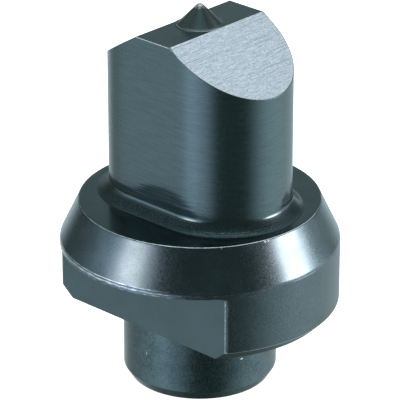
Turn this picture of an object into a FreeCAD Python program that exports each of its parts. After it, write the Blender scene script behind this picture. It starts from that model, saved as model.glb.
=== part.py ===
import FreeCAD, Part

import math
import os

import Sketcher

# Oval punch: an obround blade with a roof-shaped end and a centre pip, a coned collar with one
# key flat, and a round spigot. Lengths are in millimetres and angles in degrees. The origin is
# the centre of the spigot's end, +Z points up to the punching end, and +X runs along the
# oval's long axis. The key flat faces -Y.

SIZES = [
    ("spigot_diameter", 15.85, "spigot that drops into the ram"),
    ("spigot_length", 7.7, "spigot end to collar underside"),
    ("spigot_lead_depth", 0.65, "lead-in cone, measured along the radius"),
    ("spigot_lead_length", 1.05, "lead-in cone, measured along the axis"),
    ("shank_diameter", 16.2, "shank inside the collar"),
    ("shank_press_clearance", 0.0, "radial gap between shank and collar bore, a press fit"),
    ("collar_diameter", 28.8, "collar at its land"),
    ("collar_band", 7.5, "collar underside to the broken edge below the cone"),
    ("collar_chamfer", 1.05, "45 degree chamfer round the underside"),
    ("edge_break_depth", 0.05, "broken edge below the cone, along the radius"),
    ("edge_break_height", 0.27, "broken edge below the cone, along the axis"),
    ("cone_height", 4.13, "cone that the clamping nut bears on"),
    ("rim_diameter", 24.8, "top of the cone"),
    ("land_height", 0.4, "round land left above the key flat"),
    ("key_flat_distance", 8.6, "punch axis to key flat"),
    ("key_corner_radius", 0.45, "corner between the key flat and the land's ledge"),
    ("key_edge_break", 0.18, "chamfer on the upright edges of the key flat"),
    ("blade_width", 13.8, "oval, across the flat faces"),
    ("blade_length", 20.5, "oval, over the round ends"),
    ("blade_height", 18.8, "collar top to the flat strip of the blade's end"),
    ("root_fillet", 1.2, "fillet between blade and foot"),
    ("foot_margin", 0.05, "foot beyond the fillet"),
    ("foot_height", 0.15, "foot of the fillet on the collar's top"),
    ("strip_width", 4.5, "flat strip across the blade's end"),
    ("roof_angle", 32.0, "slope of the two ground roof faces"),
    ("pip_foot_overhang", 0.25, "pip's foot past the strip's edges, before the edges trim it"),
    ("pip_half_angle", 42.0, "centre pip's axis to its side"),
    ("pip_tip_radius", 0.2, "rounded tip of the centre pip"),
    ("pip_foot_fillet", 0.75, "hollow between the pip's side and its foot"),
    ("pip_foot_height", 0.05, "edge of the pip's foot"),
    ("pip_foot_margin", 0.05, "pip's foot beyond the hollow"),
    ("pip_shank_diameter", 2.6, "pressed-in shank of the centre pip"),
    ("pip_shank_length", 4.0, "strip to the end of the pip's shank"),
    ("pip_shank_chamfer", 0.3, "45 degree chamfer on the end of the pip's shank"),
    ("pip_press_clearance", 0.0, "radial gap between the pip's shank and its hole, a press fit"),
    ("pip_hole_allowance", 0.2, "pip's hole beyond the end of its shank"),
    ("cutter_overrun", 1.0, "how far each cut runs past the metal"),
]

# Sizes that follow from the ones above, written once as expressions of the sheet's aliases.
SPIGOT_RADIUS = "sizes.spigot_diameter / 2"
SHANK_RADIUS = "sizes.shank_diameter / 2"
COLLAR_RADIUS = "sizes.collar_diameter / 2"
RIM_RADIUS = "sizes.rim_diameter / 2"
COLLAR_HEIGHT = "(sizes.collar_band + sizes.edge_break_height + sizes.cone_height)"
LEDGE_HEIGHT = "(sizes.collar_band - sizes.land_height)"
COLLAR_TOP = "(sizes.spigot_length + " + COLLAR_HEIGHT + ")"
STRIP_LEVEL = "(" + COLLAR_TOP + " + sizes.blade_height)"
FOOT_GROWTH = "(2 * (sizes.root_fillet + sizes.foot_margin))"
HALF_STRIP = "sizes.strip_width / 2"
PIP_FOOT_RADIUS = "(" + HALF_STRIP + " + sizes.pip_foot_overhang)"
PIP_SHANK_RADIUS = "sizes.pip_shank_diameter / 2"

# Two positions closer than this are the same place on the model.
SAME_PLACE = 1e-4


def make_sheet(doc):
    """The driving dimensions: name, value and meaning, one row each."""
    sheet = doc.addObject("Spreadsheet::Sheet", "sizes")
    for row, (alias, value, meaning) in enumerate(SIZES, start=1):
        sheet.set("A%d" % row, alias)
        sheet.set("B%d" % row, str(value))
        sheet.set("C%d" % row, meaning)
        sheet.setAlias("B%d" % row, alias)
    doc.recompute()
    return sheet


def make_body(doc, name, label):
    body = doc.addObject("PartDesign::Body", name)
    body.Label = label
    return body


def make_sketch(body, role, name, level=None):
    """An empty sketch on one of the body's own planes, raised to a level if one is given."""
    plane = [item for item in body.Origin.OriginFeatures if item.Role == role][0]
    sketch = body.newObject("Sketcher::SketchObject", name)
    sketch.AttachmentSupport = [(plane, "")]
    sketch.MapMode = "FlatFace"
    if level is not None:
        sketch.setExpression("AttachmentOffset.Base.z", level)
    return sketch


def bind(sketch, constraint, expression):
    """Add a dimension and let an expression of the sheet's sizes drive it."""
    index = sketch.addConstraint(constraint)
    sketch.setExpression("Constraints[%d]" % index, expression)


def place_point(sketch, line, end, across, upward):
    """Fix one end of a line: None keeps it on the axis, otherwise an expression sets the distance."""
    if across is None:
        sketch.addConstraint(Sketcher.Constraint("PointOnObject", line, end, -2))
    else:
        bind(sketch, Sketcher.Constraint("DistanceX", -1, 1, line, end, 1.0), across)
    if upward is None:
        sketch.addConstraint(Sketcher.Constraint("PointOnObject", line, end, -1))
    else:
        bind(sketch, Sketcher.Constraint("DistanceY", -1, 1, line, end, 1.0), upward)


def draw_polygon(sketch, corners):
    """A closed outline. The corners start evenly round a circle, and their dimensions move them."""
    first = sketch.GeometryCount
    count = len(corners)
    angles = [2 * math.pi * number / count for number in range(count + 1)]
    start = [FreeCAD.Vector(math.cos(angle), math.sin(angle), 0) for angle in angles]
    for number in range(count):
        sketch.addGeometry(Part.LineSegment(start[number], start[number + 1]))
    for number in range(count):
        following = (number + 1) % count
        sketch.addConstraint(Sketcher.Constraint("Coincident", first + number, 2, first + following, 1))
    for number, (across, upward) in enumerate(corners):
        place_point(sketch, first + number, 1, across, upward)


def draw_obround(sketch, sheet, growth_value, growth):
    """The blade's outline, two half circles joined by two lines, made wider all round by a growth."""
    radius = (sheet.get("blade_width") + growth_value) / 2
    centre = (sheet.get("blade_length") - sheet.get("blade_width")) / 2
    right = FreeCAD.Vector(centre, 0, 0)
    left = FreeCAD.Vector(-centre, 0, 0)
    up = FreeCAD.Vector(0, 0, 1)
    quarter = math.pi / 2
    right_arc = sketch.addGeometry(Part.ArcOfCircle(Part.Circle(right, up, radius), -quarter, quarter))
    left_arc = sketch.addGeometry(Part.ArcOfCircle(Part.Circle(left, up, radius), quarter, 3 * quarter))
    back = sketch.addGeometry(Part.LineSegment(FreeCAD.Vector(centre, radius, 0),
                                               FreeCAD.Vector(-centre, radius, 0)))
    front = sketch.addGeometry(Part.LineSegment(FreeCAD.Vector(-centre, -radius, 0),
                                                FreeCAD.Vector(centre, -radius, 0)))
    sketch.addConstraint(Sketcher.Constraint("Tangent", right_arc, 2, back, 1))
    sketch.addConstraint(Sketcher.Constraint("Tangent", back, 2, left_arc, 1))
    sketch.addConstraint(Sketcher.Constraint("Tangent", left_arc, 2, front, 1))
    sketch.addConstraint(Sketcher.Constraint("Tangent", front, 2, right_arc, 1))
    sketch.addConstraint(Sketcher.Constraint("Horizontal", back))
    sketch.addConstraint(Sketcher.Constraint("Horizontal", front))
    sketch.addConstraint(Sketcher.Constraint("Symmetric", right_arc, 3, left_arc, 3, -1, 1))
    bind(sketch, Sketcher.Constraint("Radius", right_arc, radius),
         "(sizes.blade_width + " + growth + ") / 2")
    bind(sketch, Sketcher.Constraint("DistanceX", left_arc, 3, right_arc, 3, 2 * centre),
         "sizes.blade_length - sizes.blade_width")


def revolve(body, sketch, name):
    feature = body.newObject("PartDesign::Revolution", name)
    feature.Profile = sketch
    feature.ReferenceAxis = (sketch, ["V_Axis"])
    feature.Angle = 360
    return feature


def pad(body, sketch, name, length):
    feature = body.newObject("PartDesign::Pad", name)
    feature.Profile = sketch
    feature.setExpression("Length", length)
    return feature


def pocket(doc, body, sketch, name, length, midplane):
    """Cut a sketch away from the body, and make sure that the cut removed metal."""
    before = body.Tip.Shape.Volume
    feature = body.newObject("PartDesign::Pocket", name)
    feature.Profile = sketch
    feature.Midplane = midplane
    feature.setExpression("Length", length)
    doc.recompute()
    if not feature.Shape.Volume < before:
        raise RuntimeError(name + " cuts nothing")
    return feature


def edge_names(shape, wanted):
    """The names of the edges that a test accepts, in the order that features refer to them."""
    return ["Edge%d" % number for number, edge in enumerate(shape.Edges, start=1) if wanted(edge)]


def dress_edges(body, kind, name, base, names, size_property, size):
    """A fillet or chamfer on the named edges of a feature."""
    feature = body.newObject(kind, name)
    feature.Base = (base, names)
    feature.setExpression(size_property, size)
    return feature


def make_blade_stem(doc, sheet):
    """Shank and spigot turned in one, with the oval blade, its foot and its roof-shaped end."""
    body = make_body(doc, "BladeStem", "blade_stem")

    turned = make_sketch(body, "XZ_Plane", "ShankProfile")
    draw_polygon(turned, [
        (None, None),
        (SPIGOT_RADIUS + " - sizes.spigot_lead_depth", None),
        (SPIGOT_RADIUS, "sizes.spigot_lead_length"),
        (SPIGOT_RADIUS, "sizes.spigot_length"),
        (SHANK_RADIUS, "sizes.spigot_length"),
        (SHANK_RADIUS, COLLAR_TOP),
        (None, COLLAR_TOP),
    ])
    revolve(body, turned, "Shank")

    foot_outline = make_sketch(body, "XY_Plane", "FootOutline", COLLAR_TOP)
    growth = 2 * (sheet.get("root_fillet") + sheet.get("foot_margin"))
    draw_obround(foot_outline, sheet, growth, FOOT_GROWTH)
    pad(body, foot_outline, "Foot", "sizes.foot_height")

    blade_outline = make_sketch(body, "XY_Plane", "BladeOutline", COLLAR_TOP)
    draw_obround(blade_outline, sheet, 0.0, "0")
    blade = pad(body, blade_outline, "Blade", "sizes.blade_height")
    doc.recompute()

    collar_top = (sheet.get("spigot_length") + sheet.get("collar_band")
                  + sheet.get("edge_break_height") + sheet.get("cone_height"))
    foot_level = collar_top + sheet.get("foot_height")
    half_length = sheet.get("blade_length") / 2 + SAME_PLACE
    half_width = sheet.get("blade_width") / 2 + SAME_PLACE

    def at_blade_root(edge):
        box = edge.BoundBox
        level = abs(box.ZMin - foot_level) < SAME_PLACE and abs(box.ZMax - foot_level) < SAME_PLACE
        return level and box.XMax < half_length and box.YMax < half_width and box.YMin > -half_width

    root = edge_names(blade.Shape, at_blade_root)
    dress_edges(body, "PartDesign::Fillet", "RootFillet", blade, root, "Radius", "sizes.root_fillet")
    doc.recompute()

    roof = make_sketch(body, "XZ_Plane", "RoofCuts")
    beyond = "(sizes.blade_length / 2 + sizes.cutter_overrun)"
    above = STRIP_LEVEL + " + sizes.cutter_overrun"
    low = STRIP_LEVEL + " - (" + beyond + " - " + HALF_STRIP + ") * tan(sizes.roof_angle * 1 deg)"
    for side in ("", "-"):
        draw_polygon(roof, [
            (side + "(" + HALF_STRIP + ")", STRIP_LEVEL),
            (side + beyond, low),
            (side + beyond, above),
            (side + "(" + HALF_STRIP + ")", above),
        ])
    pocket(doc, body, roof, "Roof", "sizes.blade_width + 2 * sizes.cutter_overrun", True)

    pip_hole = make_sketch(body, "XY_Plane", "PipHoleOutline", STRIP_LEVEL)
    radius = sheet.get("pip_shank_diameter") / 2
    circle = pip_hole.addGeometry(Part.Circle(FreeCAD.Vector(0, 0, 0), FreeCAD.Vector(0, 0, 1), radius))
    pip_hole.addConstraint(Sketcher.Constraint("Coincident", circle, 3, -1, 1))
    bind(pip_hole, Sketcher.Constraint("Radius", circle, radius),
         PIP_SHANK_RADIUS + " + sizes.pip_press_clearance")
    pocket(doc, body, pip_hole, "PipHole", "sizes.pip_shank_length + sizes.pip_hole_allowance", False)
    return body


def make_collar(doc, sheet):
    """Ring with a cone on top, a narrow round land, and a key flat milled under the land."""
    body = make_body(doc, "Collar", "collar")
    body.setExpression("Placement.Base.z", "sizes.spigot_length")

    turned = make_sketch(body, "XZ_Plane", "CollarProfile")
    bore = SHANK_RADIUS + " + sizes.shank_press_clearance"
    draw_polygon(turned, [
        (bore, None),
        (COLLAR_RADIUS + " - sizes.collar_chamfer", None),
        (COLLAR_RADIUS, "sizes.collar_chamfer"),
        (COLLAR_RADIUS, "sizes.collar_band"),
        (COLLAR_RADIUS + " - sizes.edge_break_depth", "sizes.collar_band + sizes.edge_break_height"),
        (RIM_RADIUS, COLLAR_HEIGHT),
        (bore, COLLAR_HEIGHT),
    ])
    revolve(body, turned, "Ring")
    doc.recompute()

    milled = make_sketch(body, "YZ_Plane", "KeyFlatCut")
    outside = "-(" + COLLAR_RADIUS + " + sizes.cutter_overrun)"
    draw_polygon(milled, [
        ("-sizes.key_flat_distance", "-sizes.cutter_overrun"),
        ("-sizes.key_flat_distance", LEDGE_HEIGHT),
        (outside, LEDGE_HEIGHT),
        (outside, "-sizes.cutter_overrun"),
    ])
    key_flat = pocket(doc, body, milled, "KeyFlat", "sizes.collar_diameter + 2 * sizes.cutter_overrun", True)

    flat = -sheet.get("key_flat_distance")
    ledge = sheet.get("collar_band") - sheet.get("land_height")

    def on_flat(box):
        return abs(box.YMin - flat) < SAME_PLACE and abs(box.YMax - flat) < SAME_PLACE

    def upright_edge(edge):
        box = edge.BoundBox
        return on_flat(box) and box.XLength < SAME_PLACE

    def ledge_corner(edge):
        box = edge.BoundBox
        return on_flat(box) and abs(box.ZMin - ledge) < SAME_PLACE and abs(box.ZMax - ledge) < SAME_PLACE

    corner = edge_names(key_flat.Shape, ledge_corner)
    rounded = dress_edges(body, "PartDesign::Fillet", "KeyCorner", key_flat, corner, "Radius",
                          "sizes.key_corner_radius")
    doc.recompute()

    sides = edge_names(rounded.Shape, upright_edge)
    dress_edges(body, "PartDesign::Chamfer", "KeyEdgeBreak", rounded, sides, "Size",
                "sizes.key_edge_break")
    return body


def make_centre_pip(doc, sheet):
    """Pressed-in centre point: a cone with a rounded tip on a hollow foot, above a short shank."""
    body = make_body(doc, "CentrePip", "centre_pip")
    body.setExpression("Placement.Base.z", STRIP_LEVEL)

    slope = math.radians(sheet.get("pip_half_angle"))
    tip_radius = sheet.get("pip_tip_radius")
    hollow = sheet.get("pip_foot_fillet")
    lip = sheet.get("pip_foot_height")
    shank = sheet.get("pip_shank_diameter") / 2
    depth = sheet.get("pip_shank_length")
    chamfer = sheet.get("pip_shank_chamfer")
    foot = sheet.get("strip_width") / 2 + sheet.get("pip_foot_overhang")
    # The hollow's centre lies one hollow radius above the lip and one outside the cone's side, which
    # gives the radius at which the side would meet the strip.
    hollow_across = foot - sheet.get("pip_foot_margin")
    hollow_up = lip + hollow
    base = hollow_across - (hollow - hollow_up * math.sin(slope)) / math.cos(slope)
    # The tip's centre lies on the axis, one tip radius inside the cone's side.
    tip_up = base / math.tan(slope) - tip_radius / math.sin(slope)

    def point(across, upward):
        return FreeCAD.Vector(across, upward, 0)

    normal = FreeCAD.Vector(0, 0, 1)
    side_low = point(hollow_across - hollow * math.cos(slope), hollow_up - hollow * math.sin(slope))
    side_high = point(tip_radius * math.cos(slope), tip_up + tip_radius * math.sin(slope))

    profile = make_sketch(body, "XZ_Plane", "PipProfile")
    path = [point(0, tip_up + tip_radius), point(0, -depth), point(shank - chamfer, -depth),
            point(shank, -depth + chamfer), point(shank, 0), point(foot, 0), point(foot, lip),
            point(hollow_across, lip)]
    lines = [profile.addGeometry(Part.LineSegment(one, other)) for one, other in zip(path, path[1:])]
    axis_line, end_line, chamfer_line, shank_line, under_line, edge_line, lip_line = lines
    hollow_arc = profile.addGeometry(Part.ArcOfCircle(
        Part.Circle(point(hollow_across, hollow_up), normal, hollow), math.pi + slope, 1.5 * math.pi))
    side_line = profile.addGeometry(Part.LineSegment(side_low, side_high))
    tip_arc = profile.addGeometry(Part.ArcOfCircle(
        Part.Circle(point(0, tip_up), normal, tip_radius), slope, math.pi / 2))

    for one, other in zip(lines, lines[1:]):
        profile.addConstraint(Sketcher.Constraint("Coincident", one, 2, other, 1))
    profile.addConstraint(Sketcher.Constraint("Tangent", lip_line, 2, hollow_arc, 2))
    profile.addConstraint(Sketcher.Constraint("Tangent", hollow_arc, 1, side_line, 1))
    profile.addConstraint(Sketcher.Constraint("Tangent", side_line, 2, tip_arc, 1))
    profile.addConstraint(Sketcher.Constraint("Coincident", tip_arc, 2, axis_line, 1))
    profile.addConstraint(Sketcher.Constraint("PointOnObject", tip_arc, 3, -2))
    profile.addConstraint(Sketcher.Constraint("PointOnObject", tip_arc, 2, -2))
    profile.addConstraint(Sketcher.Constraint("PointOnObject", axis_line, 2, -2))
    profile.addConstraint(Sketcher.Constraint("Horizontal", end_line))
    profile.addConstraint(Sketcher.Constraint("Vertical", shank_line))
    profile.addConstraint(Sketcher.Constraint("PointOnObject", under_line, 1, -1))
    profile.addConstraint(Sketcher.Constraint("PointOnObject", under_line, 2, -1))
    profile.addConstraint(Sketcher.Constraint("Vertical", edge_line))
    profile.addConstraint(Sketcher.Constraint("Horizontal", lip_line))

    bind(profile, Sketcher.Constraint("DistanceX", -1, 1, edge_line, 1, foot), PIP_FOOT_RADIUS)
    bind(profile, Sketcher.Constraint("Radius", tip_arc, tip_radius), "sizes.pip_tip_radius")
    bind(profile, Sketcher.Constraint("Radius", hollow_arc, hollow), "sizes.pip_foot_fillet")
    bind(profile, Sketcher.Constraint("DistanceY", under_line, 2, edge_line, 2, lip),
         "sizes.pip_foot_height")
    bind(profile, Sketcher.Constraint("DistanceX", lip_line, 2, lip_line, 1, foot - hollow_across),
         "sizes.pip_foot_margin")
    bind(profile, Sketcher.Constraint("DistanceX", -1, 1, shank_line, 1, shank), PIP_SHANK_RADIUS)
    bind(profile, Sketcher.Constraint("DistanceY", axis_line, 2, -1, 1, depth),
         "sizes.pip_shank_length")
    bind(profile, Sketcher.Constraint("DistanceX", chamfer_line, 1, chamfer_line, 2, chamfer),
         "sizes.pip_shank_chamfer")
    bind(profile, Sketcher.Constraint("DistanceY", chamfer_line, 1, chamfer_line, 2, chamfer),
         "sizes.pip_shank_chamfer")
    # The side leans inwards as it rises: a quarter turn plus its angle to the axis.
    bind(profile, Sketcher.Constraint("Angle", side_line, math.pi / 2 + slope),
         "90 deg + sizes.pip_half_angle * 1 deg")
    revolve(body, profile, "Point")
    doc.recompute()

    trim = make_sketch(body, "XZ_Plane", "FootTrim")
    beyond = "(" + PIP_FOOT_RADIUS + " + sizes.cutter_overrun)"
    above = "sizes.pip_foot_fillet + sizes.cutter_overrun"
    for side in ("", "-"):
        draw_polygon(trim, [
            (side + "(" + HALF_STRIP + ")", "-sizes.cutter_overrun"),
            (side + beyond, "-sizes.cutter_overrun"),
            (side + beyond, above),
            (side + "(" + HALF_STRIP + ")", above),
        ])
    pocket(doc, body, trim, "FootTrimmed", "2 * " + beyond, True)
    return body


def check_document(doc):
    """Stop on any feature that failed and on any sketch that its dimensions leave loose."""
    for item in doc.Objects:
        if "Invalid" in item.State or "Error" in item.State:
            raise RuntimeError(item.Name + " failed: " + str(item.State))
        if item.TypeId == "Sketcher::SketchObject" and not item.FullyConstrained:
            raise RuntimeError(item.Name + " isn't fully constrained")


def check_shape(body):
    shape = body.Shape
    if shape.isNull() or not shape.isValid() or len(shape.Solids) != 1:
        raise RuntimeError(body.Label + " isn't one valid solid")


def main():
    doc = FreeCAD.newDocument("oval_punch")
    sheet = make_sheet(doc)
    bodies = [make_blade_stem(doc, sheet), make_collar(doc, sheet), make_centre_pip(doc, sheet)]
    doc.recompute()
    check_document(doc)
    os.makedirs("parts", exist_ok=True)
    for body in bodies:
        check_shape(body)
        body.Shape.exportStep(os.path.join("parts", body.Label + ".step"))
        box = body.Shape.BoundBox
        print("%s: %.1f mm3, z %.2f to %.2f" % (body.Label, body.Shape.Volume, box.ZMin, box.ZMax))


main()
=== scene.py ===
# %% [markdown]
# # An oval punch in black-oxided steel
#
# A punch pushes a slot through sheet metal. This one has an oval blade with a roof-shaped end and
# a small centre point, a coned collar that a nut clamps, and a short round spigot. The packed
# model gives every size and place. This lesson builds the surfaces that a camera sees, with their
# broken edges and their finish, exactly where that model is.

import bmesh
import bpy
import numpy as np
from mathutils import Matrix, Vector


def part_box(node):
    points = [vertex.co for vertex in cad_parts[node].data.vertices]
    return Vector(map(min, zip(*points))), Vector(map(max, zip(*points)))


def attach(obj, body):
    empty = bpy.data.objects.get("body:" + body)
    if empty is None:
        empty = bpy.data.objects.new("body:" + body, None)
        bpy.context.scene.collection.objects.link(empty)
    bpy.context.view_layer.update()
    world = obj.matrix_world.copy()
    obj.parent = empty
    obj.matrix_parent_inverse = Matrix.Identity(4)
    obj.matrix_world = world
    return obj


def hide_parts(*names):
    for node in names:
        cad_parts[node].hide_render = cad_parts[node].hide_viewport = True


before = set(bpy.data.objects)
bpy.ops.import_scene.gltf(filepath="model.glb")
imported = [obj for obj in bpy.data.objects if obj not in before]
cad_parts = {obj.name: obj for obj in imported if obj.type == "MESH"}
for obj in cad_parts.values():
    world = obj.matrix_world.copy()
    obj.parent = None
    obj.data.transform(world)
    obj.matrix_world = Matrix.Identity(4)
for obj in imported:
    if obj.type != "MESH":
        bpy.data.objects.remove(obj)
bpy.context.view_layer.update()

MM = 0.001
print("nodes:", sorted(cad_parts))

# %% [markdown]
# ## Sizes
#
# Blender works in metres, and the model's nodes already stand at their real place. Their boxes
# give the main sizes. What a box can't give, such as a fillet or a slope, is named here in
# millimetres, as a maker would write it on the drawing.

# %% Read the main sizes from the frame
blade_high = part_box("blade_stem")[1]
collar_low, collar_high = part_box("collar")
pip_low, pip_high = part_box("centre_pip")
STRIP_LEVEL = blade_high.z
UNDERSIDE = collar_low.z
COLLAR_TOP = collar_high.z
COLLAR_RADIUS = collar_high.x
FOOT_HALF_WIDTH = blade_high.y
ARC_CENTRE = blade_high.x - blade_high.y
HALF_STRIP = pip_high.x
print("collar from", round(UNDERSIDE / MM, 2), "to", round(COLLAR_TOP / MM, 2), "mm")

# %% Name the sizes that the boxes don't give
ROOT_FILLET = 1.2 * MM
ROOT_TOE = np.radians(52.0)
ROOT_RADIUS = 0.6 * MM
FOOT_MARGIN = 0.05 * MM
FOOT_HEIGHT = 0.15 * MM
ROOT_TOP = COLLAR_TOP + FOOT_HEIGHT + ROOT_FILLET
BLADE_HALF_WIDTH = FOOT_HALF_WIDTH - ROOT_FILLET - FOOT_MARGIN
ROOF_SLOPE = np.tan(np.radians(32.0))
SPIGOT_RADIUS = 7.925 * MM
SPIGOT_LEAD_DEPTH = 0.65 * MM
SPIGOT_LEAD_LENGTH = 1.05 * MM
BORE_RADIUS = 8.1 * MM
COLLAR_CHAMFER = 1.05 * MM
COLLAR_BAND = 7.5 * MM
BAND_TOP = UNDERSIDE + COLLAR_BAND
EDGE_BREAK_DEPTH = 0.05 * MM
EDGE_BREAK_HEIGHT = 0.27 * MM
RIM_RADIUS = 12.4 * MM
LAND_HEIGHT = 0.4 * MM
LEDGE = BAND_TOP - LAND_HEIGHT
KEY_FLAT = 8.6 * MM
KEY_CORNER = 0.45 * MM
KEY_BEVEL = 0.18 * MM
PIP_SLOPE = np.radians(43.5)
PIP_TIP_RADIUS = 0.55 * MM
PIP_HOLLOW = 0.5 * MM
PIP_LIP = 0.05 * MM
PIP_FOOT_RADIUS = HALF_STRIP + 0.25 * MM
PIP_SHANK_RADIUS = 1.3 * MM
PIP_SHANK_CHAMFER = 0.3 * MM
PIP_HOLE_BOTTOM = pip_low.z - 0.2 * MM
print("blade", round(2 * BLADE_HALF_WIDTH / MM, 2), "mm wide")

# %% [markdown]
# ## Camera
#
# The photograph was taken from a little above, with a long lens that keeps upright edges almost
# parallel. The picture is square. Its focal length in pixels, the turn round the punch, the
# height of view and the distance were fitted to the outline, and Blender wants the focal length
# for its 36 mm sensor.

# %% Place the camera
PICTURE_PIXELS = 400
FOCAL_PIXELS = 3084.84
SENSOR = 36.0
AZIMUTH = np.radians(42.949)
ELEVATION = np.radians(24.474)
DISTANCE = 315.034 * MM
TARGET = Vector((0.0, 0.0, 19.119 * MM))


def view_axes(azimuth, elevation):
    """Right, up and back of a view: back points from the object to the eye, right is level."""
    level_back = Vector((np.sin(azimuth), -np.cos(azimuth), 0.0))
    right = Vector((np.cos(azimuth), np.sin(azimuth), 0.0))
    back = level_back * np.cos(elevation) + Vector((0.0, 0.0, np.sin(elevation)))
    return right, back.cross(right), back


right, up, back = view_axes(AZIMUTH, ELEVATION)
camera_data = bpy.data.cameras.new("camera")
camera_data.sensor_width = SENSOR
camera_data.lens = FOCAL_PIXELS * SENSOR / PICTURE_PIXELS
camera_data.clip_start = 10 * MM
camera = bpy.data.objects.new("camera", camera_data)
turn = Matrix((right, up, back)).transposed().to_4x4()
camera.matrix_world = Matrix.Translation(TARGET + back * DISTANCE) @ turn
bpy.context.scene.collection.objects.link(camera)
bpy.context.scene.camera = camera
print("lens", round(camera_data.lens, 1), "mm")

# %% [markdown]
# ## Helpers for nodes and colours
#
# A finish is a small network of nodes. One function adds any node, sets what it is given by name
# and links its inputs, so that each finish below reads as a list of what it is made of. Colours
# are written the way a picture editor shows them, as sRGB hex, and turned to linear once.

# %% Turn a hex colour to linear, and add a node
def linear(hex_colour):
    """sRGB to linear: c / 12.92 near black, otherwise ((c + 0.055) / 1.055) to the power 2.4."""
    srgb = np.array([int(hex_colour[at:at + 2], 16) for at in (0, 2, 4)]) / 255
    return tuple(np.where(srgb <= 0.04045, srgb / 12.92, ((srgb + 0.055) / 1.055) ** 2.4)) + (1.0,)


def add(tree, kind, settings=None, links=None):
    """A node of one kind. Settings are its properties or unlinked inputs, links its linked ones."""
    node = tree.nodes.new(kind)
    for name, value in (settings or {}).items():
        if isinstance(name, str) and hasattr(node, name):
            setattr(node, name, value)
        else:
            node.inputs[name].default_value = value
    for name, source in (links or {}).items():
        tree.links.new(source, node.inputs[name])
    return node


def smooth(low, high, to_low=0.0, to_high=1.0):
    """Settings for a Map Range node: from one range to another, smoothly, held at both ends."""
    return {"interpolation_type": "SMOOTHSTEP", "From Min": low, "From Max": high,
            "To Min": to_low, "To Max": to_high}


print("oxide in linear:", [round(float(part), 3) for part in linear("4f6268")])

# %% [markdown]
# ## Studio
#
# Dark polished steel has hardly any colour of its own: it shows what stands round it. So the
# light is drawn as a photographer would place it, as soft round patches on a dark surrounding:
# a softbox low at the left, a stronger one at the right, a wide bank overhead, weaker ones
# behind and the pale table. The side towards the camera stays dark, and that gives the deep
# bands down the middle of the blade and the cone. Area lights could do the same, but a world
# made of patches renders with little noise and also fills what the punch mirrors below the
# horizon.

# %% Draw the light patches on the world
PATCHES = [
    # azimuth from the camera's side, elevation, inner and outer radius in degrees, colour, radiance
    ("softbox at the left", -60, 18, 2, 14, "ffdfd0", 4.9),
    ("edge of the left softbox", -59, 16, 6, 25, "ffe2e3", 1.8),
    ("halo of the left softbox", -66, 8, 8, 38, "daf3ff", 0.54),
    ("softbox at the right", 84, 14, 4, 15, "ffd6c6", 8.6),
    ("edge of the right softbox", 86, 12, 8, 22, "fff3f0", 4.9),
    ("halo of the right softbox", 88, 8, 8, 46, "ffe8e2", 0.45),
    ("overhead bank", 180, 84, 12, 40, "f6fff9", 1.5),
    ("rear bank", 135, 46, 8, 30, "fdfbff", 0.84),
    ("rear bank at the left", -120, 40, 10, 35, "f9fff7", 0.38),
    ("table at the left", -75, -26, 5, 60, "fafeff", 0.78),
    ("table below the left softbox", -44, -28, 3, 30, "f0f3ff", 0.55),
    ("table at the right", 95, -26, 5, 55, "f4ffff", 1.0),
    ("table at the back", 180, -10, 0, 48, "e2f5ff", 0.52),
    ("table beyond the left edge", -152, -33, 3, 30, "ecfaff", 0.5),
    ("table beyond the right edge", 155, -24, 3, 30, "e6f8ff", 0.4),
    ("rim of the table at the left", -55, -6, 4, 24, "daceff", 0.47),
]
SURROUNDING = (0.11, 0.14, 0.12)


def direction(azimuth, elevation):
    """The direction at an azimuth counted from the camera's side, positive to its right."""
    return view_axes(AZIMUTH + np.radians(azimuth), np.radians(elevation))[2]


world = bpy.data.worlds.new("studio")
bpy.context.scene.world = world
world.use_nodes = True
studio = world.node_tree
studio.nodes.clear()
looking = add(studio, "ShaderNodeTexCoord").outputs["Generated"]
light = add(studio, "ShaderNodeCombineXYZ", dict(zip("XYZ", SURROUNDING))).outputs[0]
for name, azimuth, elevation, inner, outer, tint, radiance in PATCHES:
    toward = add(studio, "ShaderNodeVectorMath",
                 {"operation": "DOT_PRODUCT", 1: direction(azimuth, elevation)}, {0: looking})
    border = smooth(np.cos(np.radians(outer)), np.cos(np.radians(inner)))
    share = add(studio, "ShaderNodeMapRange", {"label": name, **border},
                {"Value": toward.outputs["Value"]})
    light = add(studio, "ShaderNodeVectorMath",
                {"operation": "MULTIPLY_ADD", 1: Vector(linear(tint)[:3]) * radiance},
                {0: share.outputs["Result"], 2: light}).outputs[0]
room = add(studio, "ShaderNodeBackground", links={"Color": light})
add(studio, "ShaderNodeOutputWorld", links={"Surface": room.outputs[0]})
bpy.context.scene.view_settings.view_transform = "Standard"
print(len(PATCHES), "light patches")

# %% [markdown]
# ## From grids of points to a mesh
#
# Every surface here is a grid: rows follow a profile and columns go round. The points are worked
# out as whole arrays. The steps below turn grids into faces, join them where their borders meet,
# and carry one number with every point, its wear, which is highest on the very edge of the metal
# and 0 away from it. The finishes read that number to lay bare steel along the edges.

# %% Turn grids into one closed mesh
SAME_PLACE = 1e-7
SHARP = np.radians(30.0)


def grid(points, finish, wear=0.0, around=True):
    """Quads over a grid of points: finish is one number for all of them, or one for each."""
    rows, columns = points.shape[:2]
    number = np.arange(rows * columns).reshape(rows, columns)
    if around:
        number = np.hstack([number, number[:, :1]])
    quads = np.stack([number[:-1, :-1], number[:-1, 1:], number[1:, 1:], number[1:, :-1]], axis=-1)
    finishes = np.broadcast_to(finish, quads.shape[:2])
    wear = np.broadcast_to(wear, (rows, columns))
    return points.reshape(-1, 3), quads.reshape(-1, 4), finishes.reshape(-1), wear.reshape(-1)


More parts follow.
